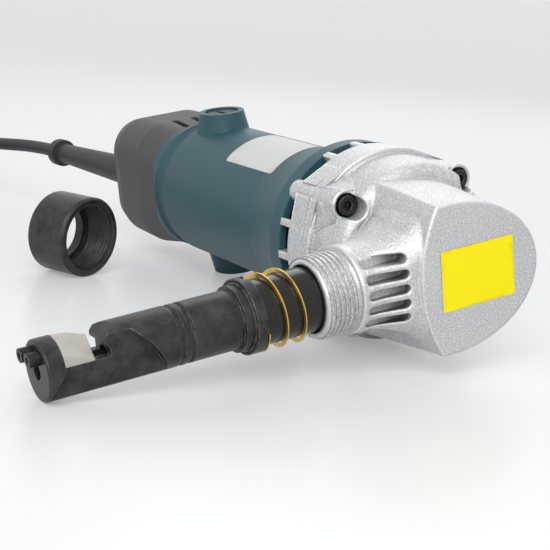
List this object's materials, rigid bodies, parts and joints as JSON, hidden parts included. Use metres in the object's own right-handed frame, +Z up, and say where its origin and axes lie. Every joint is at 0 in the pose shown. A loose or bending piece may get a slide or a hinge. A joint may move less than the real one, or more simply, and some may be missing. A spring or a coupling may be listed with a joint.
{
  "type": "electric sheet metal nibbler",
  "caption": "Corded electric nibbler for sheet metal on its side: motor, cast gear head, die holder drawn out of the nose with its spring, lock nut beside it.",
  "frame": {"origin": "middle of the object's footprint without its cord, on the surface it lies on", "axes": "+X forward along the motor axis, +Z up, the die points along -Y and about ten degrees down"},
  "size_m": [0.4694, 0.1828, 0.0704],
  "materials": {
    "housing_paint": "satin",
    "cover_plastic": "matte",
    "cast_aluminium": "sand cast",
    "black_steel": "blackened",
    "bright_steel": "ground",
    "spring_steel": "plated",
    "laminations": "stacked",
    "copper_wire": "lacquered",
    "brush_carbon": "matte",
    "brass": "plain",
    "dark_plastic": "matte",
    "cord_rubber": "matte",
    "bush_bronze": "plain"
  },
  "bodies": {
    "housing": {"motor_housing": "housing_paint", "rear_cover": "cover_plastic", "bearing_plate": "cast_aluminium", "gear_housing": "cast_aluminium", "head_screws": "black_steel", "stator_core": "laminations", "stator_windings": "copper_wire", "front_bearing": "bright_steel", "rear_bearing": "bright_steel", "brush_holders": "brass", "carbon_brushes": "brush_carbon", "brush_caps": "dark_plastic", "switch_body": "dark_plastic", "crank_bearing": "bright_steel", "crank_bush": "bush_bronze", "guide_bush": "bush_bronze", "die_spring": "spring_steel", "cord_guard": "cord_rubber", "cord_clamp": "dark_plastic", "cord": "cord_rubber", "cord_coil": "cord_rubber", "coil_tie": "dark_plastic", "plug": "cord_rubber"},
    "armature": {"armature_shaft": "bright_steel", "armature_core": "laminations", "armature_windings": "copper_wire", "commutator": "copper_wire", "fan": "dark_plastic"},
    "crank": {"crankshaft": "bright_steel", "drive_gear": "bright_steel", "crank_roller": "bright_steel"},
    "plunger": {"ram": "bright_steel", "punch": "bright_steel"},
    "ring": {"index_ring": "black_steel"},
    "holder": {"die_holder": "black_steel", "die": "bright_steel", "die_screws": "black_steel"},
    "nut": {"lock_nut": "black_steel"},
    "slider": {"switch_slider": "dark_plastic", "switch_rod": "bright_steel"}
  },
  "joints": [
    {"name": "crank_turn", "type": "hinge", "parent": "housing", "child": "crank", "pos_m": [0.11593, 0.07151, 0.03781], "axis": [1, 0, 0], "range_deg": [0, 180]},
    {"name": "armature_spin", "type": "hinge", "parent": "housing", "child": "armature", "pos_m": [0.03593, 0.05704, 0.0352], "axis": [1, 0, 0], "range_deg": [-765, 0]},
    {"name": "ram_stroke", "type": "slide", "parent": "housing", "child": "plunger", "axis": [0, -0.9841, -0.1777], "range_m": [0, 0.0048]},
    {"name": "holder_draw", "type": "slide", "parent": "housing", "child": "ring", "axis": [0, -0.9841, -0.1777], "range_m": [-0.0165, 0], "stiffness_N_per_m": 60, "springref_m": 0.004, "deforming": ["die_spring"]},
    {"name": "holder_turn", "type": "hinge", "parent": "ring", "child": "holder", "pos_m": [0.13593, -0.02169, 0.02099], "axis": [0, -0.9841, -0.1777], "range_deg": [-180, 180]},
    {"name": "nut_lift", "type": "slide", "parent": "housing", "child": "nut", "axis": [0, 0, 1], "range_m": [0, 0.12]},
    {"name": "switch_slide", "type": "slide", "parent": "housing", "child": "slider", "axis": [1, 0, 0], "range_m": [0, 0.006]}
  ],
  "couplings": [
    {"joint": "crank_turn", "follows": "ram_stroke", "rad_per_m": 654.5},
    {"joint": "armature_spin", "follows": "ram_stroke", "rad_per_m": -2781.6}
  ]
}
